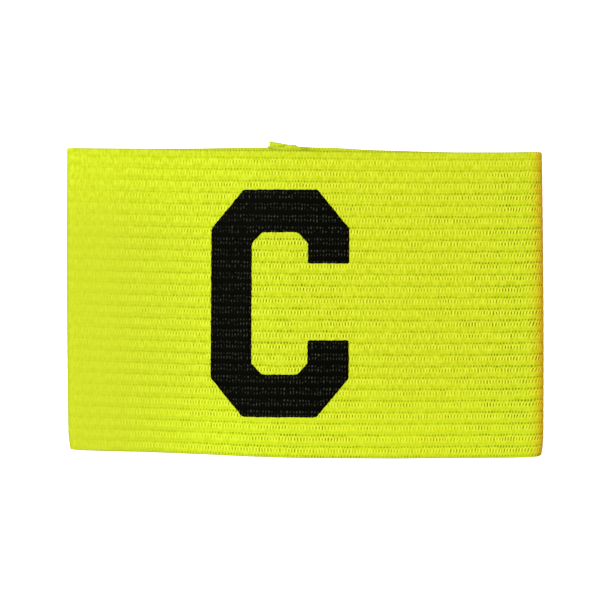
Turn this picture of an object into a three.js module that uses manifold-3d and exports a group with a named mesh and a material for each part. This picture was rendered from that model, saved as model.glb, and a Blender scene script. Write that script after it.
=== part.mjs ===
// A captain's armband. One strip of ribbed woven elastic is sewn into a loop, and the loop lies flattened:
// its back on the floor, a fold at each side, and its front arching up by the spring of the elastic.
// The two ends of the strip are turned in as seam allowances under the front, pressed to the left.
// A block letter C, the usual mark of a team's captain, is printed on the front.
// Millimetres. X runs round the arm, Y along the arm and Z up from the floor.
import * as THREE from "three";
import { mergeVertices } from "three/addons/utils/BufferGeometryUtils.js";
import Module from "manifold-3d";

const wasm = await Module();
wasm.setup();

// The elastic strip
const flatLength = 132.8; // fold to fold
const bandWidth = 84; // selvedge to selvedge
const wall = 1.3; // thickness at a rib
const ribCount = 27; // with one at each selvedge
const ribShare = 0.66; // of the rib pitch: the raised rib, and the rest is the channel
const ribRelief = 0.25; // depth of a channel, on both faces

// How the loop lies
const leftFoldHeight = 4.6; // floor to the top of the left fold
const rightFoldHeight = 9;
const crownHeight = 11.8; // floor to the highest point of the front
const foldLean = THREE.MathUtils.degToRad(0.27); // the folds lean this much from the arm's direction

// The seam
const seamLine = -2.5; // from the middle of the flat length
const seamAllowance = 7.1;
const plyGap = 0.3; // between two plies that lie on each other
const seamRamp = 8.5; // length in which the upper ply comes down to the floor
const tabRise = 0.65; // the allowances stick out this far past the top selvedge at the seam line
const tabFlare = 1; // and this much more at their raw edges
const tabStep = 1; // length right of the seam line in which the upper one comes back

// The printed letter
const letterWidth = 37.9;
const letterHeight = 62.2;
const letterMiddle = new THREE.Vector2(-6.95, -0.9);
const letterLean = THREE.MathUtils.degToRad(0.3); // its upright strokes lean this much to the right
const letterStem = 11.2;
const letterBar = 11.65;
const letterArm = 11.3;
const letterMouth = 21; // clear height between the two arms
const mouthRise = 0.4; // the middle between the arms, above the letter's middle
const outerCut = new THREE.Vector2(8.8, 10.6); // the cut corners outside
const innerCut = new THREE.Vector2(2.9, 3); // and inside
const filmThickness = 0.4;
const filmGap = 0.3; // between the film and the ribs

// The front between the folds. Along is a share of half the flat length, from the middle.
// Rise is a share of the way up from the line between the two folds' tops to the crown.
const frontRise = [
  { along: 0.86, rise: 0.06 },
  { along: 0.71, rise: 0.23 },
  { along: 0.55, rise: 0.48 },
  { along: 0.38, rise: 0.71 },
  { along: 0.2, rise: 0.87 },
  { along: 0.03, rise: 0.98 },
  { along: -0.12, rise: 1 },
  { along: -0.25, rise: 0.84 },
  { along: -0.38, rise: 0.52 },
  { along: -0.52, rise: 0.25 },
  { along: -0.7, rise: 0.13 },
  { along: -0.87, rise: 0.02 },
];

// How far the strip's middle has slid along the arm, in the front and in the back
const frontSway = [
  { along: -1, sway: 0.35 },
  { along: -0.7, sway: 0.03 },
  { along: -0.52, sway: -0.38 },
  { along: -0.25, sway: -0.85 },
  { along: 0.03, sway: -1.17 },
  { along: 0.38, sway: -1.36 },
  { along: 0.86, sway: -1.27 },
  { along: 1, sway: -1.05 },
];
const backSway = [
  { along: -1, sway: 0.35 },
  { along: -0.57, sway: 0.36 },
  { along: -0.23, sway: 0.73 },
  { along: 0.11, sway: 0.76 },
  { along: 0.27, sway: 0.1 },
  { along: 0.57, sway: -0.5 },
  { along: 1, sway: -1.05 },
];

const elastic = new THREE.MeshStandardMaterial({ name: "woven_elastic", color: 0xd6e62d, roughness: 0.8 });
const printFilm = new THREE.MeshStandardMaterial({ name: "print_film", color: 0x15160a, roughness: 0.6 });

// Heights of the strip's mid-line: on the floor, and in the two plies that lie on it
const floorLine = wall / 2;
const plyPitch = wall + plyGap;
const lowerPlyLine = floorLine + plyPitch;
const upperPlyLine = floorLine + 2 * plyPitch;
const rawEdge = seamLine - seamAllowance;

// A fold is a half circle of the mid-line.
const foldRadius = (foldHeight) => (foldHeight - wall) / 2;
const leftRadius = foldRadius(leftFoldHeight);
const rightRadius = foldRadius(rightFoldHeight);
const rightCentre = new THREE.Vector2(flatLength / 2 - floorLine - rightRadius, floorLine + rightRadius);
const leftCentre = new THREE.Vector2(-flatLength / 2 + floorLine + leftRadius, floorLine + leftRadius);
const seamTurnRadius = plyPitch / 2;
const seamTurn = new THREE.Vector2(seamLine - floorLine - seamTurnRadius, floorLine + seamTurnRadius);
const rampEnd = seamTurn.x + seamRamp;
const ribPitch = bandWidth / (ribCount - 1 + ribShare);

// The front's mid-line, from the top of the right fold to the top of the left one
function frontCurve() {
  const start = new THREE.Vector2(rightCentre.x, rightCentre.y + rightRadius);
  const end = new THREE.Vector2(leftCentre.x, leftCentre.y + leftRadius);
  const between = frontRise.map(({ along, rise }) => {
    const x = (along * flatLength) / 2;
    const base = THREE.MathUtils.mapLinear(x, start.x, end.x, start.y, end.y);
    return new THREE.Vector2(x, THREE.MathUtils.lerp(base, crownHeight - floorLine, rise));
  });
  return new THREE.SplineCurve([start, ...between, end]);
}

// The strip's sway where it is at x, from one of the tables
function swayAt(table, x) {
  const along = (2 * x) / flatLength;
  const next = table.findIndex((entry) => entry.along >= along);
  const last = next < 0 ? table.length - 1 : Math.max(next, 1);
  const [before, after] = table.slice(last - 1, last + 1);
  const inside = THREE.MathUtils.clamp(along, before.along, after.along);
  return THREE.MathUtils.mapLinear(inside, before.along, after.along, before.sway, after.sway);
}

// The strip's way round the loop, from one raw edge to the other, seen along the arm.
// Sway is a table, or the sway at the start and at the end of a stretch.
function stripRoute() {
  const line = (x0, z0, x1, z1) => new THREE.LineCurve(new THREE.Vector2(x0, z0), new THREE.Vector2(x1, z1));
  const halfTurn = (centre, radius, from) =>
    new THREE.EllipseCurve(centre.x, centre.y, radius, radius, from, from + Math.PI);
  const ramp = new THREE.CubicBezierCurve(
    new THREE.Vector2(seamTurn.x, upperPlyLine),
    new THREE.Vector2(seamTurn.x + seamRamp / 2, upperPlyLine),
    new THREE.Vector2(rampEnd - seamRamp / 2, floorLine),
    new THREE.Vector2(rampEnd, floorLine),
  );
  const besideSeam = swayAt(backSway, rampEnd);
  const atSeam = besideSeam + tabRise;
  const atRawEdge = atSeam + tabFlare;
  const seamSway = [
    { along: (2 * seamLine) / flatLength, sway: atSeam },
    { along: (2 * (seamLine + tabStep)) / flatLength, sway: besideSeam },
  ];
  const leftSway = swayAt(frontSway, leftCentre.x);
  const rightSway = swayAt(frontSway, rightCentre.x);
  return [
    { curve: line(rawEdge, upperPlyLine, seamTurn.x, upperPlyLine), steps: 1, ends: [atRawEdge, atSeam] },
    { curve: ramp, steps: 4, table: seamSway },
    { curve: line(rampEnd, floorLine, rightCentre.x, floorLine), steps: 3, table: backSway },
    { curve: halfTurn(rightCentre, rightRadius, -Math.PI / 2), steps: 6, ends: [rightSway, rightSway] },
    { curve: frontCurve(), steps: 12, table: frontSway },
    { curve: halfTurn(leftCentre, leftRadius, Math.PI / 2), steps: 4, ends: [leftSway, leftSway] },
    { curve: line(leftCentre.x, floorLine, seamTurn.x, floorLine), steps: 3, table: backSway },
    { curve: halfTurn(seamTurn, seamTurnRadius, -Math.PI / 2), steps: 4, ends: [besideSeam, atSeam] },
    { curve: line(seamTurn.x, lowerPlyLine, rawEdge, lowerPlyLine), steps: 1, ends: [atSeam, atRawEdge] },
  ];
}

// Points along stretches of the route. Inward points into the loop, or up on a ply.
function stationsOf(stretches) {
  const stations = [];
  stretches.forEach(({ curve, steps, table, ends }, index) => {
    for (let step = index ? 1 : 0; step <= steps; step++) {
      const share = step / steps;
      const point = curve.getPointAt(share);
      const tangent = curve.getTangentAt(share);
      const inward = new THREE.Vector2(-tangent.y, tangent.x);
      const sway = table ? swayAt(table, point.x) : THREE.MathUtils.lerp(ends[0], ends[1], share);
      stations.push({ point, inward, sway });
    }
  });
  return stations;
}

// Rows across the strip, from the top selvedge down: each rib's two edges, and the bottom of the channel
// after it
function ribRows() {
  const rows = [];
  for (let rib = 0; rib < ribCount; rib++) {
    const top = bandWidth / 2 - rib * ribPitch;
    rows.push({ y: top, relief: 0 }, { y: top - ribShare * ribPitch, relief: 0 });
    if (rib < ribCount - 1) {
      rows.push({ y: top - ((1 + ribShare) / 2) * ribPitch, relief: ribRelief });
    }
  }
  return rows;
}

// A box with a column for each station and a row for each row, bent along the stations. Inner and outer are
// the distances of its two faces from the mid-line, measured inwards.
function bentSheet(stations, rows, inner, outer) {
  const columnSteps = stations.length - 1;
  const rowSteps = rows.length - 1;
  const sheet = new THREE.BoxGeometry(1, 1, 1, columnSteps, rowSteps, 1);
  const position = sheet.getAttribute("position");
  for (let index = 0; index < position.count; index++) {
    const station = stations[Math.round((position.getX(index) + 0.5) * columnSteps)];
    const row = rows[Math.round((0.5 - position.getY(index)) * rowSteps)];
    const depth = position.getZ(index) > 0 ? inner - row.relief : outer + row.relief;
    const y = row.y + station.sway;
    const x = station.point.x + depth * station.inward.x;
    const z = station.point.y + depth * station.inward.y;
    position.setXYZ(index, x - Math.tan(foldLean) * y, y, z);
  }
  sheet.deleteAttribute("normal");
  sheet.deleteAttribute("uv");
  return mergeVertices(sheet, 1e-4);
}

function solidOf(geometry) {
  const merged = mergeVertices(geometry, 1e-4);
  const mesh = new wasm.Mesh({
    numProp: 3,
    vertProperties: merged.getAttribute("position").array,
    triVerts: new Uint32Array(merged.index.array),
  });
  return new wasm.Manifold(mesh);
}

function geometryOf(solid) {
  const mesh = solid.getMesh();
  const geometry = new THREE.BufferGeometry();
  geometry.setAttribute("position", new THREE.BufferAttribute(mesh.vertProperties, mesh.numProp));
  geometry.setIndex(new THREE.BufferAttribute(mesh.triVerts, 1));
  geometry.computeVertexNormals();
  return geometry;
}

// The block letter's outline: a C of straight strokes with its corners cut off
function letterShape() {
  const right = letterWidth / 2;
  const top = letterHeight / 2;
  const hollowRight = right - letterArm;
  const hollowLeft = -right + letterStem;
  const hollowTop = top - letterBar;
  const halfOutline = (mouth) => [
    [hollowLeft, hollowTop - innerCut.y],
    [hollowLeft + innerCut.x, hollowTop],
    [hollowRight - innerCut.x, hollowTop],
    [hollowRight, hollowTop - innerCut.y],
    [hollowRight, mouth],
    [right, mouth],
    [right, top - outerCut.y],
    [right - outerCut.x, top],
    [-right + outerCut.x, top],
    [-right, top - outerCut.y],
  ];
  const upperHalf = halfOutline(letterMouth / 2 + mouthRise);
  const lowerHalf = halfOutline(letterMouth / 2 - mouthRise).map(([x, y]) => [x, -y]);
  const outline = [...upperHalf, ...lowerHalf.reverse()];
  return new THREE.Shape(outline.map(([x, y]) => new THREE.Vector2(x + Math.tan(letterLean) * y, y)));
}

// The print is a film over the front that is left only inside the letter's outline.
function letterGeometry() {
  const outer = -floorLine - filmGap - filmThickness;
  const stations = stationsOf(stripRoute().filter(({ table }) => table === frontSway));
  const edges = [bandWidth / 2, -bandWidth / 2].map((y) => ({ y, relief: 0 }));
  const film = bentSheet(stations, edges, outer + filmThickness, outer);
  const prism = new THREE.ExtrudeGeometry(letterShape(), { depth: 2 * crownHeight, bevelEnabled: false });
  prism.deleteAttribute("normal");
  prism.deleteAttribute("uv");
  prism.translate(letterMiddle.x, letterMiddle.y, 0);
  return geometryOf(solidOf(film).intersect(solidOf(prism)));
}

function bandGeometry() {
  const band = bentSheet(stationsOf(stripRoute()), ribRows(), wall / 2, -wall / 2);
  band.computeVertexNormals();
  return band;
}

const band = new THREE.Mesh(bandGeometry(), elastic);
band.name = "band";

const letter = new THREE.Mesh(letterGeometry(), printFilm);
letter.name = "letter_c";

// The origin is the middle of the underside of the armband's box.
const armband = new THREE.Group();
armband.name = "captain_armband";
armband.add(band, letter);
const box = new THREE.Box3().setFromObject(armband);
const middle = box.getCenter(new THREE.Vector3());
armband.position.set(-middle.x, -middle.y, -box.min.z);

export default armband;
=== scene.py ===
import math

import bmesh
import bpy
import numpy as np
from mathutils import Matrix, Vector


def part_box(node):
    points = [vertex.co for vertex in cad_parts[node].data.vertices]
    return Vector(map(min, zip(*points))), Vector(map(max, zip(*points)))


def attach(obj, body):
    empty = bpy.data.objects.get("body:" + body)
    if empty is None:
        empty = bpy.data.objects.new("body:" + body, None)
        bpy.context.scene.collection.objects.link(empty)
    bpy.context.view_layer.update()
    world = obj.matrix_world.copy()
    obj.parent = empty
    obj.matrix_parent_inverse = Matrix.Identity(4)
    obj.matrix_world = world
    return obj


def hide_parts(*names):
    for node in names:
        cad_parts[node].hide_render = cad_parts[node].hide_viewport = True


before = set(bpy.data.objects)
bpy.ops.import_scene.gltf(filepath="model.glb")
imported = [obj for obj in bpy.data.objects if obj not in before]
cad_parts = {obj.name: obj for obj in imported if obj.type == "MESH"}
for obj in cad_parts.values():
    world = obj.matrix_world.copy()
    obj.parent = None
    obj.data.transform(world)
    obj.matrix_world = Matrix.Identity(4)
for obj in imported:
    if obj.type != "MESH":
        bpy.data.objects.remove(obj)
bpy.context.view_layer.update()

# The elastic band. One strip of ribbed woven elastic, polyester yarn over rubber cords, dyed fluorescent
# yellow. It is sewn into a loop that lies flattened: its back on the floor, a fold at each side, the front
# arching up by its own spring, and the two ends turned in at the back as seam allowances.
MM = 0.001
flat_length = 132.8 * MM
band_width = 84 * MM
wall = 1.3 * MM
rib_count = 27
rib_share = 0.66
rib_pitch = band_width / (rib_count - 1 + rib_share)
left_fold_height = 4.6 * MM
right_fold_height = 9 * MM
crown_height = 11.8 * MM
fold_lean = math.tan(math.radians(0.27))
seam_line = -2.5 * MM
seam_allowance = 7.1 * MM
ply_gap = 0.3 * MM
seam_ramp = 8.5 * MM
tab_rise = 0.45 * MM
tab_flare = 1.0 * MM
tab_overhang = 0.4 * MM
tab_step = 0.15 * MM
# How far the folds are drawn in at the selvedges, and how much more at the bottom one's corners
fold_draw = 0.28 * MM
corner_draw = 0.55 * MM
corner_reach = 6 * MM

# The front between the folds: a share of half the flat length from the middle, and a share of the way up
# from the line between the folds' tops to the crown.
front_rise = [
    (0.86, 0.06),
    (0.71, 0.23),
    (0.55, 0.48),
    (0.38, 0.71),
    (0.2, 0.87),
    (0.03, 0.98),
    (-0.12, 1),
    (-0.25, 0.84),
    (-0.38, 0.52),
    (-0.52, 0.25),
    (-0.7, 0.13),
    (-0.87, 0.02),
]
# How far the strip's middle has slid along the arm at such a share, in the front and in the back, and how
# much further the middle ribs of the front hang towards the bottom selvedge than its selvedges do
front_sway = [
    (-1, 0.35 * MM),
    (-0.7, 0.03 * MM),
    (-0.52, -0.38 * MM),
    (-0.25, -0.85 * MM),
    (0.03, -1.17 * MM),
    (0.38, -1.36 * MM),
    (0.86, -1.27 * MM),
    (1, -1.05 * MM),
]
back_sway = [
    (-1, 0.35 * MM),
    (-0.57, 0.36 * MM),
    (-0.23, 0.73 * MM),
    (0.11, 0.76 * MM),
    (0.27, 0.1 * MM),
    (0.57, -0.5 * MM),
    (1, -1.05 * MM),
]
front_bow = [
    (-1, 0.25 * MM),
    (-0.74, 0.53 * MM),
    (-0.48, 0.46 * MM),
    (-0.16, 0.25 * MM),
    (0.2, 0.06 * MM),
    (0.5, 0.14 * MM),
    (1, 0.14 * MM),
]
# At the folds the bottom selvedge is drawn up, most at the right one; between them it hangs a little lower.
# This fades with a power of the share of the way across, so only the last ribs follow.
tuck_fade = 4
fold_tuck = [
    (-1, 0.12 * MM),
    (-0.985, 0.02 * MM),
    (-0.95, -0.12 * MM),
    (-0.82, -0.2 * MM),
    (-0.57, -0.1 * MM),
    (-0.3, -0.05 * MM),
    (0, -0.2 * MM),
    (0.95, -0.22 * MM),
    (0.97, -0.15 * MM),
    (0.985, -0.05 * MM),
    (1, 0.35 * MM),
]

# One rib from its top edge down: a share of the rib pitch, and how deep the cloth lies there. The wide rib
# is followed by a sharp groove, a narrow strip and a shallow row of gaps between the yarns.
rib_profile = [
    (0.0, 0.05 * MM),
    (0.1, 0.01 * MM),
    (0.18, 0.0),
    (0.3, 0.02 * MM),
    (0.42, 0.055 * MM),
    (0.52, 0.1 * MM),
    (0.61, 0.155 * MM),
    (0.67, 0.2 * MM),
    (0.72, 0.11 * MM),
    (0.79, 0.02 * MM),
    (0.9, 0.02 * MM),
]
selvedge_angles = (12, 30, 50, 70)

# Heights of the strip's mid-line and the middles of its turns, seen along the arm, from the floor up
floor_line = wall / 2
ply_pitch = wall + ply_gap
lower_ply = floor_line + ply_pitch
upper_ply = floor_line + 2 * ply_pitch
raw_edge = seam_line - seam_allowance
left_radius = (left_fold_height - wall) / 2
right_radius = (right_fold_height - wall) / 2
left_x = -flat_length / 2 + floor_line + left_radius
right_x = flat_length / 2 - floor_line - right_radius
turn_radius = ply_pitch / 2
turn_x = seam_line - floor_line - turn_radius
ramp_end = turn_x + seam_ramp

# How finely the mid-line is worked out: points on each turn, level and ramp, and on each span of the front
turn_points = 60
span_points = 30


def half_turn(x, radius, start):
    """A half circle standing on the floor, anticlockwise from an angle."""
    angles = np.linspace(start, start + math.pi, turn_points)
    return np.stack([x + radius * np.cos(angles), floor_line + radius * (1 + np.sin(angles))], 1)


def level(x0, x1, z):
    """A straight run at a height of z."""
    return np.stack([np.linspace(x0, x1, turn_points), np.full(turn_points, z)], 1)


def seam_ramp_points():
    """The back's easy slope beside the seam, from the upper ply down to the floor."""
    share = np.linspace(0, 1, turn_points)[:, None]
    pulls = [
        (turn_x, upper_ply),
        (turn_x + seam_ramp / 2, upper_ply),
        (ramp_end - seam_ramp / 2, floor_line),
        (ramp_end, floor_line),
    ]
    degree = len(pulls) - 1
    weights = [math.comb(degree, k) * share**k * (1 - share) ** (degree - k) for k in range(degree + 1)]
    return sum(weight * np.array(pull) for weight, pull in zip(weights, pulls))


def front_points():
    """A smooth curve from the top of the right fold over the crown to the top of the left one."""
    start = (right_x, floor_line + 2 * right_radius)
    end = (left_x, floor_line + 2 * left_radius)
    points = [start]
    for along, rise in front_rise:
        x = along * flat_length / 2
        base = np.interp(x, [end[0], start[0]], [end[1], start[1]])
        points.append((x, base + (crown_height - floor_line - base) * rise))
    points.append(end)
    points = np.array([points[0], *points, points[-1]])
    share = np.linspace(0, 1, span_points, endpoint=False)[:, None]
    spans = []
    for a, b, c, d in zip(points, points[1:], points[2:], points[3:]):
        pull_b, pull_c = (c - a) / 2, (d - b) / 2
        spans.append(
            (2 * b - 2 * c + pull_b + pull_c) * share**3
            + (-3 * b + 3 * c - 2 * pull_b - pull_c) * share**2
            + pull_b * share
            + b
        )
    return np.concatenate([*spans, [end]])


def from_table(table, x):
    """A table's value at x, where its places are shares of half the flat length."""
    return np.interp(x / (flat_length / 2), *zip(*table))


# At the seam the turned-in ends have slid up a little, so they stand out at the top as a tab.
beside_seam = from_table(back_sway, ramp_end)
at_seam = beside_seam + tab_rise
at_raw_edge = at_seam + tab_flare
tab_end = seam_line + tab_overhang
seam_sway = [
    (tab_end / (flat_length / 2), at_seam),
    ((tab_end + tab_step) / (flat_length / 2), beside_seam),
]

# The strip's way round the loop, from the upper raw edge to the lower one: its points, the columns of the
# mesh along them, and its sway as a table or as its values at the start and the end.
stretches = [
    (level(raw_edge, turn_x, upper_ply), 6, (at_raw_edge, at_seam)),
    (seam_ramp_points(), 24, seam_sway),
    (level(ramp_end, right_x, floor_line), 12, back_sway),
    (half_turn(right_x, right_radius, -math.pi / 2), 12, front_sway),
    (front_points(), 70, front_sway),
    (half_turn(left_x, left_radius, math.pi / 2), 12, front_sway),
    (level(left_x, turn_x, floor_line), 12, back_sway),
    (half_turn(turn_x, turn_radius, -math.pi / 2), 8, (beside_seam, at_seam)),
    (level(turn_x, raw_edge, lower_ply), 6, (at_seam, at_raw_edge)),
]
path = {name: [] for name in ("point", "inward", "length", "sway", "bow")}
stations, starts = [0.0], []
for points, columns, sway in stretches:
    steps = np.linalg.norm(np.diff(points, axis=0), axis=1)
    length = stations[-1] + np.concatenate([[0], np.cumsum(steps)])
    tangent = np.gradient(points, length, axis=0)
    tangent /= np.linalg.norm(tangent, axis=1)[:, None]
    starts.append(length[0])
    path["point"].append(points)
    path["inward"].append(np.stack([-tangent[:, 1], tangent[:, 0]], 1))
    path["length"].append(length)
    if isinstance(sway, list):
        path["sway"].append(from_table(sway, points[:, 0]))
    else:
        path["sway"].append(np.linspace(*sway, len(points)))
    path["bow"].append(from_table(front_bow, points[:, 0]) * (sway is front_sway))
    stations.extend(np.linspace(length[0], length[-1], columns + 1)[1:])
path = {name: np.concatenate(parts) for name, parts in path.items()}
strip_length = path["length"][-1]
right_fold_start, front_start, front_end, left_fold_end = starts[3:7]


def rib_depth(across):
    """How deep the cloth's face lies at a distance across the strip from its top selvedge."""
    shares, depths = zip(*rib_profile, (1.0, rib_profile[0][1]))
    return np.interp(across / rib_pitch % 1, shares, depths)


def on_path(along, values):
    """The values at lengths along the strip, from those at the path's points."""
    return np.interp(along, path["length"], values)


def slid(along, across):
    """How far the strip has slid along the arm, at a length along it and across it."""
    middle = 1 - (2 * across / band_width - 1) ** 2
    return on_path(along, path["sway"]) - on_path(along, path["bow"]) * middle


def on_strip(along, across, depth):
    """Points at a length along the strip, across it from its top selvedge, and inwards from its mid-line."""
    x, z = (on_path(along, path["point"][:, k]) for k in (0, 1))
    inward_x, inward_z = (on_path(along, path["inward"][:, k]) for k in (0, 1))
    y = band_width / 2 - across + slid(along, across)
    y = y + from_table(fold_tuck, x) * (across / band_width) ** tuck_fade
    x, z = x + depth * inward_x, z + depth * inward_z
    near_corner = np.clip((across - band_width + corner_reach) / corner_reach, 0, 1)
    drawn = fold_draw * (2 * across / band_width - 1) ** 2 + corner_draw * near_corner**2
    return np.stack([x - x / (flat_length / 2) * drawn - fold_lean * y, y, z], 1)


# Rows across the strip. At a selvedge the two faces run together in a half circle.
rows = []
for angle in selvedge_angles:
    inset = wall / 2 * (1 - math.cos(math.radians(angle)))
    depth = wall / 2 * (1 - math.sin(math.radians(angle)))
    rows.append((inset, depth))
    rows.append((band_width - inset, depth))
for rib in range(rib_count):
    for share, depth in rib_profile:
        across = (rib + share) * rib_pitch
        if wall / 2 < across < band_width - wall / 2:
            rows.append((across, depth))
rows = np.array(sorted(rows))

strip_map = "strip"


def mapped_mesh(name, bm, place, face_uv):
    """A mesh of bm, with its points where place puts them and a UV map of lengths along and across."""
    mesh = bpy.data.meshes.new(name)
    bm.to_mesh(mesh)
    bm.free()
    flat = np.empty(len(mesh.vertices) * 3)
    mesh.vertices.foreach_get("co", flat)
    flat = flat.reshape(-1, 3)
    corners = np.empty(len(mesh.loops), int)
    mesh.loops.foreach_get("vertex_index", corners)
    uv_map = mesh.uv_layers.new(name=strip_map)
    uv_map.uv.foreach_set("vector", face_uv(flat)[corners].ravel())
    mesh.vertices.foreach_set("co", place(flat).ravel())
    mesh.shade_smooth()
    mesh.update()
    return mesh


# A flat square of one unit, cut into the strip's columns and rows and drawn out into a wall of one unit.
# strip_place then lays it round the loop.
bm = bmesh.new()
half_square = 0.5
column_count = len(stations) - 1
bmesh.ops.create_grid(bm, x_segments=column_count, y_segments=len(rows) - 1, size=half_square)
wall_side = bmesh.ops.extrude_face_region(bm, geom=bm.faces[:], use_keep_orig=True)
upper_face = [v for v in wall_side["geom"] if isinstance(v, bmesh.types.BMVert)]
bmesh.ops.translate(bm, verts=upper_face, vec=(0, 0, 1))
bmesh.ops.recalc_face_normals(bm, faces=bm.faces)


def strip_lengths(flat):
    """Lengths along and across the strip, and the depth of its face, at points of the square."""
    along = np.array(stations)[np.rint((flat[:, 0] + half_square) * column_count).astype(int)]
    row = rows[np.rint((half_square - flat[:, 1]) * (len(rows) - 1)).astype(int)]
    return along, row[:, 0], row[:, 1]


# Round the folds the cloth is stretched, so its ribs lie flatter there: a length along the strip, and the
# share of their relief that is left.
flatter = [
    (right_fold_start - 2 * MM, 1),
    (right_fold_start + 2 * MM, 0.35),
    (front_start - 2 * MM, 0.35),
    (front_start + 3 * MM, 1),
    (front_end - 9 * MM, 1),
    (front_end, 0.3),
    (left_fold_end - 1 * MM, 0.3),
    (left_fold_end + 3 * MM, 1),
]


def strip_place(flat):
    """Where the square's points lie on the loop, those of its top on the strip's inner face."""
    along, across, relief = strip_lengths(flat)
    half = wall / 2 - relief * np.interp(along, *zip(*flatter))
    return on_strip(along, across, np.where(flat[:, 2] > 0, half, -half))


def strip_uv(flat):
    """The square's points as lengths along and across the strip."""
    return np.stack(strip_lengths(flat)[:2], 1)


band = bpy.data.objects.new("elastic_band", mapped_mesh("elastic_band", bm, strip_place, strip_uv))
bpy.context.scene.collection.objects.link(band)

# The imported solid's box says where the loop lies in the frame.
solid_low, solid_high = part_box("band")
reach = np.array([v.co for v in band.data.vertices])
offset = (solid_low + solid_high) / 2 - Vector((reach.max(0) + reach.min(0)) / 2)
offset.z = solid_low.z - reach[:, 2].min()
for vertex in band.data.vertices:
    vertex.co += offset


def linear(colour):
    """The linear colour of an sRGB hex value, with its alpha."""
    values = [int(colour[k : k + 2], 16) / 255 for k in (0, 2, 4)]
    return (*[v / 12.92 if v <= 0.04045 else ((v + 0.055) / 1.055) ** 2.4 for v in values], 1)


def add(tree, kind, links, **settings):
    """Adds a node, sets it, and gives its sockets a value or the socket that feeds them."""
    node = tree.nodes.new(kind)
    for name, value in settings.items():
        setattr(node, name, value)
    for socket, source in links.items():
        if isinstance(source, bpy.types.NodeSocket):
            tree.links.new(source, node.inputs[socket])
        else:
            node.inputs[socket].default_value = source
    return node.outputs


def new_material(name):
    """An empty material and its node tree."""
    material = bpy.data.materials.new(name)
    material.use_nodes = True
    material.node_tree.nodes.clear()
    return material, material.node_tree


# The weave, in real sizes: gaps between the yarns every 0.83 mm along the strip, tall ones in the shallow
# row of each rib and short ones in its groove, half a pitch apart. They lean where the cloth turns over the
# right fold, and no two are alike. A row's middle and half its height are shares of the rib pitch, and a lean
# is in dash pitches along the strip for each rib pitch across it.
dash_pitch = 0.83 * MM
gap_row, gap_row_half = 0.01, 0.22
groove_row, groove_row_half = 0.65, 0.14
flat_lean, lean_over_fold = -0.25, -1.5
lean_start, lean_end = front_start + 7 * MM, front_start - 4 * MM
# The last row before the bottom selvedge is crowded up against it.
last_row_shift = 0.2
# The yarns are shaken out of place, across by a share of the rib pitch and along by a share of the dash
# pitch, and the rows wander slowly along the strip. The noise is 0.5 on average, so a rib is shifted by half
# of its shake, which is taken off again.
rib_shake, dash_shake = 0.2, 0.6
shake_size = 2.4 * MM
wander_size = 17 * MM
# The shortest and the longest gap, and the faintest and the strongest, as shares of the usual one, and the
# share of its half height within which a gap is full
shortest_gap, longest_gap = 0.75, 1.2
faintest_gap, strongest_gap = 0.6, 1.15
taper = 0.35


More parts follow.
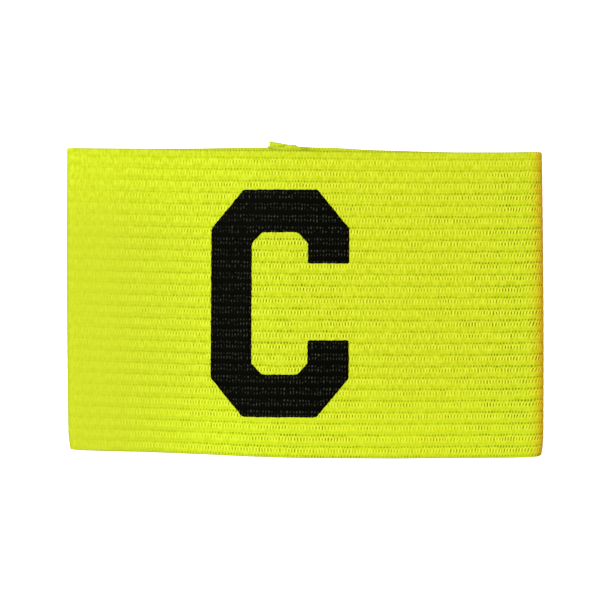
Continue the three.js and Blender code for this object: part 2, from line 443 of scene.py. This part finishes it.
def weave_rows(tree):
    """Sockets of the tall gaps, the yarns between them and the short gaps in the grooves, each from 0 to 1,
    of the count of ribs from the top selvedge, and of the strip's lengths along and across."""
    uv = add(tree, "ShaderNodeUVMap", {}, uv_map=strip_map)["UV"]
    lengths = add(tree, "ShaderNodeSeparateXYZ", {"Vector": uv})
    shaken = add(tree, "ShaderNodeTexNoise", {"Vector": uv, "Scale": 1 / shake_size, "Detail": 1.0})
    shake = add(tree, "ShaderNodeSeparateColor", {"Color": shaken["Color"]})
    rib = add(tree, "ShaderNodeMath", {0: lengths["Y"], 1: rib_pitch}, operation="DIVIDE")[0]
    rib = add(tree, "ShaderNodeMath", {0: shake["Red"], 1: rib_shake, 2: rib}, operation="MULTIPLY_ADD")[0]
    crowded = add(
        tree,
        "ShaderNodeMapRange",
        {
            "Value": lengths["Y"],
            "From Min": band_width - rib_pitch / 2,
            "From Max": band_width - rib_pitch / 4,
            "To Max": last_row_shift,
        },
    )[0]
    rib = add(tree, "ShaderNodeMath", {0: rib, 1: crowded}, operation="ADD")[0]
    wander = add(tree, "ShaderNodeTexNoise", {"Vector": uv, "Scale": 1 / wander_size, "Detail": 1.0})[0]
    dash = add(
        tree, "ShaderNodeMath", {0: lengths["X"], 1: 1 / dash_pitch, 2: wander}, operation="MULTIPLY_ADD"
    )[0]
    dash = add(
        tree, "ShaderNodeMath", {0: shake["Green"], 1: dash_shake, 2: dash}, operation="MULTIPLY_ADD"
    )[0]
    lean = add(
        tree,
        "ShaderNodeMapRange",
        {
            "Value": lengths["X"],
            "From Min": lean_start,
            "From Max": lean_end,
            "To Min": flat_lean,
            "To Max": lean_over_fold,
        },
    )[0]
    masks = []
    for row, half, phase in ((gap_row, gap_row_half, 0.5), (groove_row, groove_row_half, 0.0)):
        row_start = row + rib_shake / 2 - 0.5
        in_row = add(tree, "ShaderNodeMath", {0: rib, 1: row_start}, operation="SUBTRACT")[0]
        rib_index = add(tree, "ShaderNodeMath", {0: in_row}, operation="FLOOR")[0]
        height_in_row = add(tree, "ShaderNodeMath", {0: in_row}, operation="FRACT")[0]
        centred = add(tree, "ShaderNodeMath", {0: height_in_row, 1: 0.5}, operation="SUBTRACT")[0]
        leaning = add(tree, "ShaderNodeMath", {0: centred, 1: lean, 2: dash}, operation="MULTIPLY_ADD")[0]
        turned = add(tree, "ShaderNodeMath", {0: leaning, 1: phase - 0.5}, operation="SUBTRACT")[0]
        dash_index = add(tree, "ShaderNodeMath", {0: turned}, operation="FLOOR")[0]
        cell = add(tree, "ShaderNodeCombineXYZ", {"X": dash_index, "Y": rib_index, "Z": phase})[0]
        chance = add(tree, "ShaderNodeTexWhiteNoise", {"Vector": cell})
        chances = add(tree, "ShaderNodeSeparateColor", {"Color": chance["Color"]})
        reach = add(
            tree,
            "ShaderNodeMapRange",
            {"Value": chances["Red"], "To Min": half * shortest_gap, "To Max": half * longest_gap},
        )[0]
        far = add(tree, "ShaderNodeMath", {0: centred}, operation="ABSOLUTE")[0]
        share_of_reach = add(tree, "ShaderNodeMath", {0: far, 1: reach}, operation="DIVIDE")[0]
        near = add(
            tree,
            "ShaderNodeMapRange",
            {"Value": share_of_reach, "From Min": 1.0, "From Max": taper},
            interpolation_type="SMOOTHSTEP",
        )[0]
        depth = add(
            tree,
            "ShaderNodeMapRange",
            {"Value": chances["Green"], "To Min": faintest_gap, "To Max": strongest_gap},
        )[0]
        angle = add(tree, "ShaderNodeMath", {0: leaning, 1: 2 * math.pi}, operation="MULTIPLY")[0]
        wave = add(tree, "ShaderNodeMath", {0: angle}, operation="COSINE")[0]
        masks.append((near, wave, depth))
    (tall_row, tall_wave, tall_depth), (short_row, short_wave, short_depth) = masks
    # The wave along a row is cut where a gap, a yarn or a groove's dot begins, and where it is full.
    gaps = add(
        tree,
        "ShaderNodeMapRange",
        {"Value": tall_wave, "From Min": 0.0, "From Max": -0.8, "To Max": tall_depth},
    )[0]
    yarns = add(tree, "ShaderNodeMapRange", {"Value": tall_wave, "From Min": -0.1, "From Max": 0.8})[0]
    dots = add(
        tree,
        "ShaderNodeMapRange",
        {"Value": short_wave, "From Min": -0.1, "From Max": 0.7, "To Max": short_depth},
    )[0]
    tall = add(tree, "ShaderNodeMath", {0: gaps, 1: tall_row}, operation="MULTIPLY")[0]
    yarn = add(tree, "ShaderNodeMath", {0: yarns, 1: tall_row}, operation="MULTIPLY")[0]
    short = add(tree, "ShaderNodeMath", {0: dots, 1: short_row}, operation="MULTIPLY")[0]
    return tall, yarn, short, rib, lengths, uv


def shape_curve(mapping, points, start, end):
    """Gives a curve its height at 0, its points, and its height at 1."""
    curve = mapping.curves[0]
    for place, height in points:
        curve.points.new(place, height)
    curve.points[0].location = (0, start)
    curve.points[-1].location = (1, end)
    mapping.update()


# Fluorescent dyed polyester weave: the eye sees an even bright yellow-green on the ribs, olive painted shade
# in the gaps between the yarns and a lighter painted highlight on the yarns that stand up between the gaps,
# with next to no gloss.
elastic, tree = new_material("fluorescent_woven_elastic")
tall, yarn, short, rib, lengths, uv = weave_rows(tree)
# The cloth is pulled smoother towards the left of the front, so its gaps close there, and their painted shade
# and the yarns' painted highlight fade where the light falls more squarely: a length along the strip, and how
# open the gaps are.
gap_opening = [
    (front_start, 1.05),
    (front_start + 15 * MM, 0.85),
    (front_start + 38 * MM, 0.7),
    (front_start + 60 * MM, 0.95),
    (front_start + 74 * MM, 0.9),
    (front_start + 96 * MM, 0.55),
    (front_start + 109 * MM, 0.32),
    (front_end, 0.1),
    (front_end + 25 * MM, 0.7),
]
opening_at_seam = 0.8
share = add(tree, "ShaderNodeMath", {0: lengths["X"], 1: strip_length}, operation="DIVIDE")[0]
opened = add(tree, "ShaderNodeFloatCurve", {"Value": share})[0]
opening_shares = [(along / strip_length, opening) for along, opening in gap_opening]
shape_curve(opened.node.mapping, opening_shares, opening_at_seam, opening_at_seam)
# Some patches are pulled more open than others, longer along the strip than across it.
patch_size = 6.25 * MM
patch_map = add(tree, "ShaderNodeMapping", {"Vector": uv, "Scale": (1.0, 2.2, 1.0)})[0]
patches = add(tree, "ShaderNodeTexNoise", {"Vector": patch_map, "Scale": 1 / patch_size, "Detail": 3.0})[0]
patchy = add(
    tree, "ShaderNodeMapRange", {"Value": patches, "From Min": 0.35, "From Max": 0.6, "To Min": 0.45}
)[0]
openness = add(tree, "ShaderNodeMath", {0: opened, 1: patchy}, operation="MULTIPLY")[0]
# The first ribs from the top selvedge are woven tighter.
tight = add(
    tree,
    "ShaderNodeMapRange",
    {"Value": lengths["Y"], "From Min": 1.5 * MM, "From Max": 13 * MM, "To Min": 0.6},
)[0]
openness = add(tree, "ShaderNodeMath", {0: openness, 1: tight}, operation="MULTIPLY")[0]
# Fine threads of the face run across the strip, lighter and darker.
thread_size = 0.67 * MM
thread_map = add(tree, "ShaderNodeMapping", {"Vector": uv, "Scale": (1.0, 0.4, 1.0)})[0]
face_threads = add(
    tree, "ShaderNodeTexNoise", {"Vector": thread_map, "Scale": 1 / thread_size, "Detail": 2.0}
)[0]
tone = add(tree, "ShaderNodeMapRange", {"Value": face_threads, "From Min": 0.35, "From Max": 0.65})[0]
open_cloth = add(
    tree, "ShaderNodeMix", {0: tone, 6: linear("CADC12"), 7: linear("E2F234")}, data_type="RGBA"
)[2]
smooth_cloth = add(
    tree, "ShaderNodeMix", {0: tone, 6: linear("C8D624"), 7: linear("D2DF2E")}, data_type="RGBA"
)[2]
# The open cloth's stronger colour also lies along the top selvedge, where the cloth isn't pulled smooth.
bloom = add(tree, "ShaderNodeMapRange", {"Value": opened, "From Min": 0.2, "From Max": 0.75})[0]
bloom_above = add(
    tree,
    "ShaderNodeMapRange",
    {"Value": lengths["Y"], "From Min": 5 * MM, "From Max": 24 * MM, "To Min": 0.8, "To Max": 0.0},
)[0]
bloom = add(tree, "ShaderNodeMath", {0: bloom, 1: bloom_above}, operation="ADD", use_clamp=True)[0]
colour = add(tree, "ShaderNodeMix", {0: bloom, 6: smooth_cloth, 7: open_cloth}, data_type="RGBA")[2]
# Painted light: the ribs nearest to the bottom selvedge are painted a little paler, as if lit more there.
painted_light_below = add(
    tree,
    "ShaderNodeMapRange",
    {"Value": lengths["Y"], "From Min": 60 * MM, "From Max": 76 * MM, "To Max": 0.3},
)[0]
painted_light_below = add(tree, "ShaderNodeMath", {0: painted_light_below, 1: bloom}, operation="MULTIPLY")[0]
colour = add(tree, "ShaderNodeMix", {0: painted_light_below, 6: colour, 7: linear("E0FF24")}, data_type="RGBA")[2]
# Painted shade on each rib's lower flank and in its groove, which turn from the light: a share of the rib
# pitch, and how much. Where the cloth is pulled smooth, the painted shade is weaker.
flank_shade = [
    (0.17, 0.0),
    (0.24, 0.05),
    (0.36, 0.17),
    (0.44, 0.17),
    (0.53, 0.09),
    (0.6, 0.12),
    (0.655, 0.27),
    (0.7, 0.13),
    (0.76, 0.07),
    (0.84, 0.02),
    (0.92, 0.0),
]
down_rib = add(tree, "ShaderNodeMath", {0: rib, 1: rib_shake / 2}, operation="SUBTRACT")[0]
down_rib = add(tree, "ShaderNodeMath", {0: down_rib}, operation="FRACT")[0]
flank_painted_shade = add(tree, "ShaderNodeFloatCurve", {"Value": down_rib})[0]
shape_curve(flank_painted_shade.node.mapping, flank_shade, 0, 0)
flank_left = add(
    tree, "ShaderNodeMapRange", {"Value": opened, "From Min": 0.1, "From Max": 0.36, "To Min": 0.35}
)[0]
flank_painted_shade = add(tree, "ShaderNodeMath", {0: flank_painted_shade, 1: flank_left}, operation="MULTIPLY")[0]
colour = add(tree, "ShaderNodeMix", {0: flank_painted_shade, 6: colour, 7: linear("96A418")}, data_type="RGBA")[2]
# Painted shade in the gaps and a painted highlight on the yarns between them: each one's mask, its painted
# colour and how fully it covers the cloth
painted_gap_shade_and_yarn_highlight = (
    (short, "6E7C00", 0.95),
    (tall, "748200", 0.95),
    (yarn, "FAFF50", 0.9),
)
# The painted shade and highlight colours are mixed over the cloth's own colour.
for mask, painted_tone, strength in painted_gap_shade_and_yarn_highlight:
    open_mask = add(tree, "ShaderNodeMath", {0: mask, 1: openness}, operation="MULTIPLY")[0]
    factor = add(tree, "ShaderNodeMath", {0: open_mask, 1: strength}, operation="MULTIPLY")[0]
    colour = add(tree, "ShaderNodeMix", {0: factor, 6: colour, 7: linear(painted_tone)}, data_type="RGBA")[2]
# The last yarn of the front's selvedges is painted darker as painted shade, most at the top one.
painted_edge_shade_width = 0.8 * MM
edge_shift = 0.3 * MM
edge_shade = 0.28
from_middle = add(
    tree, "ShaderNodeMath", {0: lengths["Y"], 1: band_width / 2 + edge_shift}, operation="SUBTRACT"
)[0]
to_edge = add(tree, "ShaderNodeMath", {0: from_middle}, operation="ABSOLUTE")[0]
painted_edge_shade = add(
    tree,
    "ShaderNodeMapRange",
    {
        "Value": to_edge,
        "From Min": band_width / 2 - painted_edge_shade_width,
        "From Max": band_width / 2 + edge_shift,
        "To Max": edge_shade,
    },
)[0]
after_start = add(tree, "ShaderNodeMath", {0: lengths["X"], 1: front_start}, operation="GREATER_THAN")[0]
before_end = add(tree, "ShaderNodeMath", {0: lengths["X"], 1: front_end}, operation="LESS_THAN")[0]
painted_edge_shade = add(tree, "ShaderNodeMath", {0: painted_edge_shade, 1: after_start}, operation="MULTIPLY")[0]
painted_edge_shade = add(tree, "ShaderNodeMath", {0: painted_edge_shade, 1: before_end}, operation="MULTIPLY")[0]
colour = add(tree, "ShaderNodeMix", {0: painted_edge_shade, 6: colour, 7: linear("96A422")}, data_type="RGBA")[2]
yarn_relief = 0.1 * MM
hollow = add(tree, "ShaderNodeMath", {0: tall, 1: short}, operation="ADD")[0]
height = add(tree, "ShaderNodeMath", {0: yarn, 1: hollow}, operation="SUBTRACT")[0]
open_height = add(tree, "ShaderNodeMath", {0: height, 1: openness}, operation="MULTIPLY")[0]
bump = add(tree, "ShaderNodeBump", {"Height": open_height, "Strength": 0.6, "Distance": yarn_relief})[0]
surface = add(
    tree,
    "ShaderNodeBsdfPrincipled",
    {"Base Color": colour, "Roughness": 0.8, "Specular IOR Level": 0.02, "Normal": bump},
)[0]
add(tree, "ShaderNodeOutputMaterial", {"Surface": surface})
band.data.materials.append(elastic)

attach(band, "root")
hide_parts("band")

# The captain's letter. A block C of black heat-transfer film, pressed on to the front, so it follows the
# ribs and lets the yarns show through a little. Its cut edges are slightly ragged where they cross a rib.
letter_width = 37.9 * MM
letter_height = 62.2 * MM
letter_x, letter_y = -6.81 * MM, -0.9 * MM
letter_lean = math.tan(math.radians(0.3))
letter_stem = 11.2 * MM
letter_bar = 11.65 * MM
letter_arm = 11.3 * MM
letter_mouth = 21 * MM
mouth_rise = 0.4 * MM
outer_cut_x, outer_cut_y = 8.8 * MM, 10.6 * MM
inner_cut_x, inner_cut_y = 2.9 * MM, 3 * MM
film_lift = 0.03 * MM
film_thickness = 0.1 * MM
film_column = 1.5 * MM
edge_step = 0.5 * MM
edge_wander = 0.07 * MM
edge_seed = 7

right, top = letter_width / 2, letter_height / 2
hollow_right, hollow_left, hollow_top = right - letter_arm, -right + letter_stem, top - letter_bar


def half_outline(mouth):
    """The upper half of the C: along its hollow from the stem to the mouth, and back over its top."""
    return [
        (hollow_left, hollow_top - inner_cut_y),
        (hollow_left + inner_cut_x, hollow_top),
        (hollow_right - inner_cut_x, hollow_top),
        (hollow_right, hollow_top - inner_cut_y),
        (hollow_right, mouth),
        (right, mouth),
        (right, top - outer_cut_y),
        (right - outer_cut_x, top),
        (-right + outer_cut_x, top),
        (-right, top - outer_cut_y),
    ]


upper_half = half_outline(letter_mouth / 2 + mouth_rise)
lower_half = [(x, -y) for x, y in reversed(half_outline(letter_mouth / 2 - mouth_rise))]
corners = np.array([(x + letter_lean * y, y) for x, y in upper_half + lower_half]) + (letter_x, letter_y)
edge = []
for a, b in zip(corners, np.roll(corners, -1, axis=0)):
    edge.extend(np.linspace(a, b, round(np.linalg.norm(b - a) / edge_step), endpoint=False))
# The cutter rounds each corner a little, and the edge wanders where it crosses the ribs.
edge = np.array(edge)
edge = (np.roll(edge, 1, axis=0) + 2 * edge + np.roll(edge, -1, axis=0)) / 4
edge += np.random.default_rng(edge_seed).uniform(-edge_wander, edge_wander, edge.shape)

# Where the middle of the front's upper face lies, seen from above
front_samples = 400
front_along = np.linspace(front_start, front_end, front_samples)
in_middle = np.full(front_samples, band_width / 2)
front_x = on_strip(front_along, in_middle, np.full(front_samples, -wall / 2))[:, 0]
slide_rounds = 3


def seen_from_above(x, y):
    """Lengths along and across the strip of points of the front. The slide across depends on where across
    the strip a point lies, so that is worked out in a few rounds."""
    along = np.interp(-(x + fold_lean * y), -front_x, front_along)
    across = band_width / 2 - y
    for _ in range(slide_rounds):
        across = band_width / 2 - y + slid(along, across)
    return along, across


bm = bmesh.new()
bm.faces.new([bm.verts.new((along, across, 0)) for along, across in zip(*seen_from_above(*edge.T))])
# Cut along the strip's rows and every film_column along it, so that the film can follow the ribs and the arch
cuts = [((along, 0, 0), (1, 0, 0)) for along in np.arange(front_start, front_end, film_column)]
cuts += [((0, across, 0), (0, 1, 0)) for across, _ in rows]
for point, normal in cuts:
    bmesh.ops.bisect_plane(bm, geom=bm.verts[:] + bm.edges[:] + bm.faces[:], plane_co=point, plane_no=normal)
film_side = bmesh.ops.extrude_face_region(bm, geom=bm.faces[:], use_keep_orig=True)
film_top = [v for v in film_side["geom"] if isinstance(v, bmesh.types.BMVert)]
bmesh.ops.translate(bm, verts=film_top, vec=(0, 0, 1))
bmesh.ops.recalc_face_normals(bm, faces=bm.faces)


def film_place(flat):
    """Where points of the flat film lie, pressed on the front."""
    along, across, level = flat.T
    lift = wall / 2 - rib_depth(across) + film_lift + film_thickness * level
    return on_strip(along, across, -lift)


def film_uv(flat):
    """The film is cut in lengths along and across the strip."""
    return flat[:, :2]


letter = bpy.data.objects.new("letter_film", mapped_mesh("letter_film", bm, film_place, film_uv))
bpy.context.scene.collection.objects.link(letter)
for vertex in letter.data.vertices:
    vertex.co += offset

# Heat-transfer film, polyurethane with carbon black: a soft near-black with a warm cast, and grey-green
# specks where the yarns push through it. They are fainter in the letter's stem, where the cloth is smoother.
film, tree = new_material("black_transfer_film")
tall, yarn, short, _, lengths, uv = weave_rows(tree)
speck_size = 0.77 * MM
film_relief = 0.06 * MM
faint_start, faint_end, faintest = front_start + 62 * MM, front_start + 86 * MM, 0.75
speckle = add(tree, "ShaderNodeTexNoise", {"Vector": uv, "Scale": 1 / speck_size, "Detail": 2.0})[0]
picked = add(tree, "ShaderNodeMapRange", {"Value": speckle, "From Min": 0.42, "From Max": 0.65})[0]
# Only the very tops of the yarns come through, so their mask is raised to a power.
yarn_top = add(tree, "ShaderNodeMath", {0: yarn, 1: 4.0}, operation="POWER")[0]
tops = add(tree, "ShaderNodeMath", {0: yarn_top, 1: short}, operation="ADD")[0]
faint = add(
    tree,
    "ShaderNodeMapRange",
    {
        "Value": lengths["X"],
        "From Min": faint_start,
        "From Max": faint_end,
        "To Min": 1.0,
        "To Max": faintest,
    },
)[0]
picked = add(tree, "ShaderNodeMath", {0: picked, 1: faint}, operation="MULTIPLY")[0]
specks = add(tree, "ShaderNodeMath", {0: tops, 1: picked}, operation="MULTIPLY", use_clamp=True)[0]
colour = add(
    tree, "ShaderNodeMix", {0: specks, 6: linear("040501"), 7: linear("4E5142")}, data_type="RGBA"
)[2]
film_height = add(tree, "ShaderNodeMath", {0: tops, 1: tall}, operation="SUBTRACT")[0]
bump = add(tree, "ShaderNodeBump", {"Height": film_height, "Strength": 0.5, "Distance": film_relief})[0]
surface = add(
    tree,
    "ShaderNodeBsdfPrincipled",
    {"Base Color": colour, "Roughness": 0.6, "Specular IOR Level": 0.02, "Normal": bump},
)[0]
add(tree, "ShaderNodeOutputMaterial", {"Surface": surface})
letter.data.materials.append(film)
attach(letter, "root")
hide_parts("letter_c")

# The seam's threads. The two raw edges are held together by a row of lockstitches and bound by an overlock
# stitch of soft polyester thread, whose loops wrap both edges, and a few yarn ends have worked loose there.
thread_radius = 0.14 * MM
thread_sides = 6
lock_stitch, lock_gap = 2.3 * MM, 0.35 * MM
lock_inset = 5.2 * MM
lock_start = 2.2 * MM
overlock_stitch = 2.1 * MM
overlock_width = 4.2 * MM
selvedge_inset = 0.6 * MM
loose_ends = 26
loose_radius = 0.04 * MM
loose_length = 0.9 * MM
loose_sag = 0.25 * loose_length
loose_corner = 3 * MM
# A loose end starts anywhere in the edge's thickness, as a share of the wall, and points away from the edge,
# mostly up the arm, between these two directions.
loose_root = 0.4
loose_least = (-1, -0.4, -0.3)
loose_most = (-0.2, 1, 0.5)
loose_seed = 11


def sweep(bm, points, radius):
    """Adds a closed tube along points, by carrying a disc from point to point."""
    points = [Vector(p) for p in points]
    tangents = [(b - a).normalized() for a, b in zip([points[0], *points], [*points[1:], points[-1]])]
    tangents[-1] = (points[-1] - points[-2]).normalized()
    disc = bmesh.ops.create_circle(bm, cap_ends=True, segments=thread_sides, radius=radius)["verts"]
    face = disc[0].link_faces[0]
    at, heading = Vector(), Vector((0, 0, 1))
    for number, (point, tangent) in enumerate(zip(points, tangents)):
        if number:
            grown = bmesh.ops.extrude_face_region(bm, geom=[face], use_keep_orig=True)["geom"]
            # The first disc stays as the tube's end, and the ones inside it go.
            if number > 1:
                bmesh.ops.delete(bm, geom=[face], context="FACES_ONLY")
            face = next(item for item in grown if isinstance(item, bmesh.types.BMFace))
            disc = face.verts[:]
        bmesh.ops.translate(bm, verts=disc, vec=point - at)
        bmesh.ops.rotate(bm, verts=disc, cent=point, matrix=heading.rotation_difference(tangent).to_matrix())
        at, heading = point, tangent


def on_cloth(along, across, depth, beyond=0.0):
    """One point of the seam, a little beyond the raw edge if need be."""
    x, y, z = on_strip(np.array([along]), np.array([across]), np.array([depth]))[0]
    return Vector((x - beyond, y, z)) + offset


# Depths at which a thread lies pressed on the cloth, and just inside it where it goes through
over = wall / 2 + thread_radius * 0.7
inside = wall / 2 - thread_radius
# One lockstitch: how far down the stitch a point lies, and its depth
lock_path = [
    (0, inside),
    (0.12, over),
    (0.88, over),
    (1, inside),
]
# One overlock stitch, round the raw edges and back: a point's length along the strip, how far down the stitch
# it lies, its depth, and how far it is beyond the raw edge
overlock_path = [
    (overlock_width, 0, over, 0),
    (overlock_width / 2, 0.22, over, 0),
    (thread_radius, 0.42, over, 0),
    (0, 0.46, 0, thread_radius),
    (strip_length, 0.5, 0, thread_radius),
    (0, 0.54, 0, thread_radius),
    (thread_radius, 0.58, over, 0),
    (overlock_width / 2, 0.78, over, 0),
]
bm = bmesh.new()
for start in np.arange(lock_start, band_width - lock_start - lock_stitch, lock_stitch + lock_gap):
    stitch = [on_cloth(lock_inset, start + share * lock_stitch, depth) for share, depth in lock_path]
    sweep(bm, stitch, thread_radius)
loops = []
for start in np.arange(selvedge_inset, band_width - selvedge_inset - overlock_stitch, overlock_stitch):
    for along, share, depth, beyond in overlock_path:
        loops.append(on_cloth(along, start + share * overlock_stitch, depth, beyond))
sweep(bm, loops, thread_radius)
chance = np.random.default_rng(loose_seed)
at_corner = chance.uniform(0, loose_corner, loose_ends // 2)
anywhere = chance.uniform(0, band_width, loose_ends // 2)
for across in np.concatenate([at_corner, anywhere]):
    root = on_cloth(0, across, chance.uniform(-loose_root, loose_root) * wall)
    away = Vector(chance.uniform(loose_least, loose_most)) * loose_length
    sag = Vector(chance.uniform(-loose_sag, loose_sag, 3))
    sweep(bm, [root, root + away * 0.4 + sag, root + away * 0.8 + sag, root + away], loose_radius)
mesh = bpy.data.meshes.new("seam_threads")
bmesh.ops.recalc_face_normals(bm, faces=bm.faces)
bm.to_mesh(mesh)
bm.free()
mesh.shade_smooth()
threads = bpy.data.objects.new("seam_threads", mesh)
bpy.context.scene.collection.objects.link(threads)

# Polyester sewing thread dyed to match, spun in plies: a shade paler than the cloth, with painted shade
# between the plies.
thread, tree = new_material("polyester_sewing_thread")
ply = 0.3 * MM
ply_relief = 0.03 * MM
object_place = add(tree, "ShaderNodeTexCoord", {})["Object"]
plies = add(tree, "ShaderNodeTexNoise", {"Vector": object_place, "Scale": 1 / ply, "Detail": 1.0})[0]
painted_shade_between_plies = add(tree, "ShaderNodeMapRange", {"Value": plies, "From Min": 0.55, "From Max": 0.35})[0]
colour = add(
    tree, "ShaderNodeMix", {0: painted_shade_between_plies, 6: linear("D9E84A"), 7: linear("A9B92A")}, data_type="RGBA"
)[2]
bump = add(tree, "ShaderNodeBump", {"Height": plies, "Strength": 0.5, "Distance": ply_relief})[0]
surface = add(
    tree,
    "ShaderNodeBsdfPrincipled",
    {"Base Color": colour, "Roughness": 0.7, "Specular IOR Level": 0.1, "Normal": bump},
)[0]
add(tree, "ShaderNodeOutputMaterial", {"Surface": surface})
threads.data.materials.append(thread)
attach(threads, "root")

# The floor: a plain white sheet that the armband lies on, so bright in the picture that no shadow shows on
# it. It isn't part of the object, and it doesn't light the object's edges from below.
floor_half = 10
bm = bmesh.new()
bmesh.ops.create_grid(bm, x_segments=1, y_segments=1, size=floor_half)
floor_mesh = bpy.data.meshes.new("floor")
bm.to_mesh(floor_mesh)
bm.free()
floor = bpy.data.objects.new("floor", floor_mesh)
bpy.context.scene.collection.objects.link(floor)
# Acrylic lit from behind: the eye sees an even white without grain or gloss.
acrylic, tree = new_material("backlit_white_acrylic")
surface = add(
    tree,
    "ShaderNodeBsdfPrincipled",
    {
        "Base Color": linear("F7F7F6"),
        "Roughness": 0.9,
        "Emission Color": linear("FFFFFF"),
        "Emission Strength": 1.0,
    },
)[0]
add(tree, "ShaderNodeOutputMaterial", {"Surface": surface})
floor.data.materials.append(acrylic)
floor.visible_diffuse = False

# Light: a white room that is darker low on the right, a softbox over the band, and a weak warm bounce from
# the right that reaches little more than the right fold. The room's light falls from room_light to
# dark_corner_light between two cosines of the angle to dark_direction.
room_light, dark_corner_light = 0.54, 0.04
dark_direction = (0.72, -0.42, -0.55)
light_cosine, dark_cosine = -0.4, 0.7
world = bpy.data.worlds.new("room")
bpy.context.scene.world = world
world.use_nodes = True
tree = world.node_tree
towards = add(tree, "ShaderNodeTexCoord", {})["Generated"]
cosine = add(tree, "ShaderNodeVectorMath", {0: towards, 1: dark_direction}, operation="DOT_PRODUCT")["Value"]
strength = add(
    tree,
    "ShaderNodeMapRange",
    {
        "Value": cosine,
        "From Min": light_cosine,
        "From Max": dark_cosine,
        "To Min": room_light,
        "To Max": dark_corner_light,
    },
)[0]
background = tree.nodes["Background"]
background.inputs["Color"].default_value = linear("FFFFFF")
tree.links.new(strength, background.inputs["Strength"])
# Each lamp's name, its place and its side in metres, its power in watts and its colour. All point at the
# middle of the band.
for name, place, side, power, colour in (
    ("softbox", (-0.18, 0.03, 0.6), 0.16, 2.45, "FFFFFF"),
    ("warm_bounce", (0.42, 0, 0.022), 0.07, 0.8, "FF6400"),
):
    lamp = bpy.data.lights.new(name, "AREA")
    lamp.size = side
    lamp.energy = power
    lamp.color = linear(colour)[:3]
    holder = bpy.data.objects.new(name, lamp)
    holder.location = place
    holder.rotation_euler = (-Vector(place)).to_track_quat("-Z", "Y").to_euler()
    bpy.context.scene.collection.objects.link(holder)

# The camera looks straight down from about half a metre, as the photo was taken, with the picture's middle
# a little left of the band's middle.
camera_height = 472 * MM
view_width = 168.3 * MM
camera_x = -1.27 * MM
camera = bpy.data.objects.new("camera", bpy.data.cameras.new("camera"))
camera.data.lens = camera.data.sensor_width * camera_height / view_width
camera.location = (offset.x + camera_x, offset.y, camera_height)
bpy.context.scene.collection.objects.link(camera)
bpy.context.scene.camera = camera
bpy.context.scene.view_settings.view_transform = "Standard"
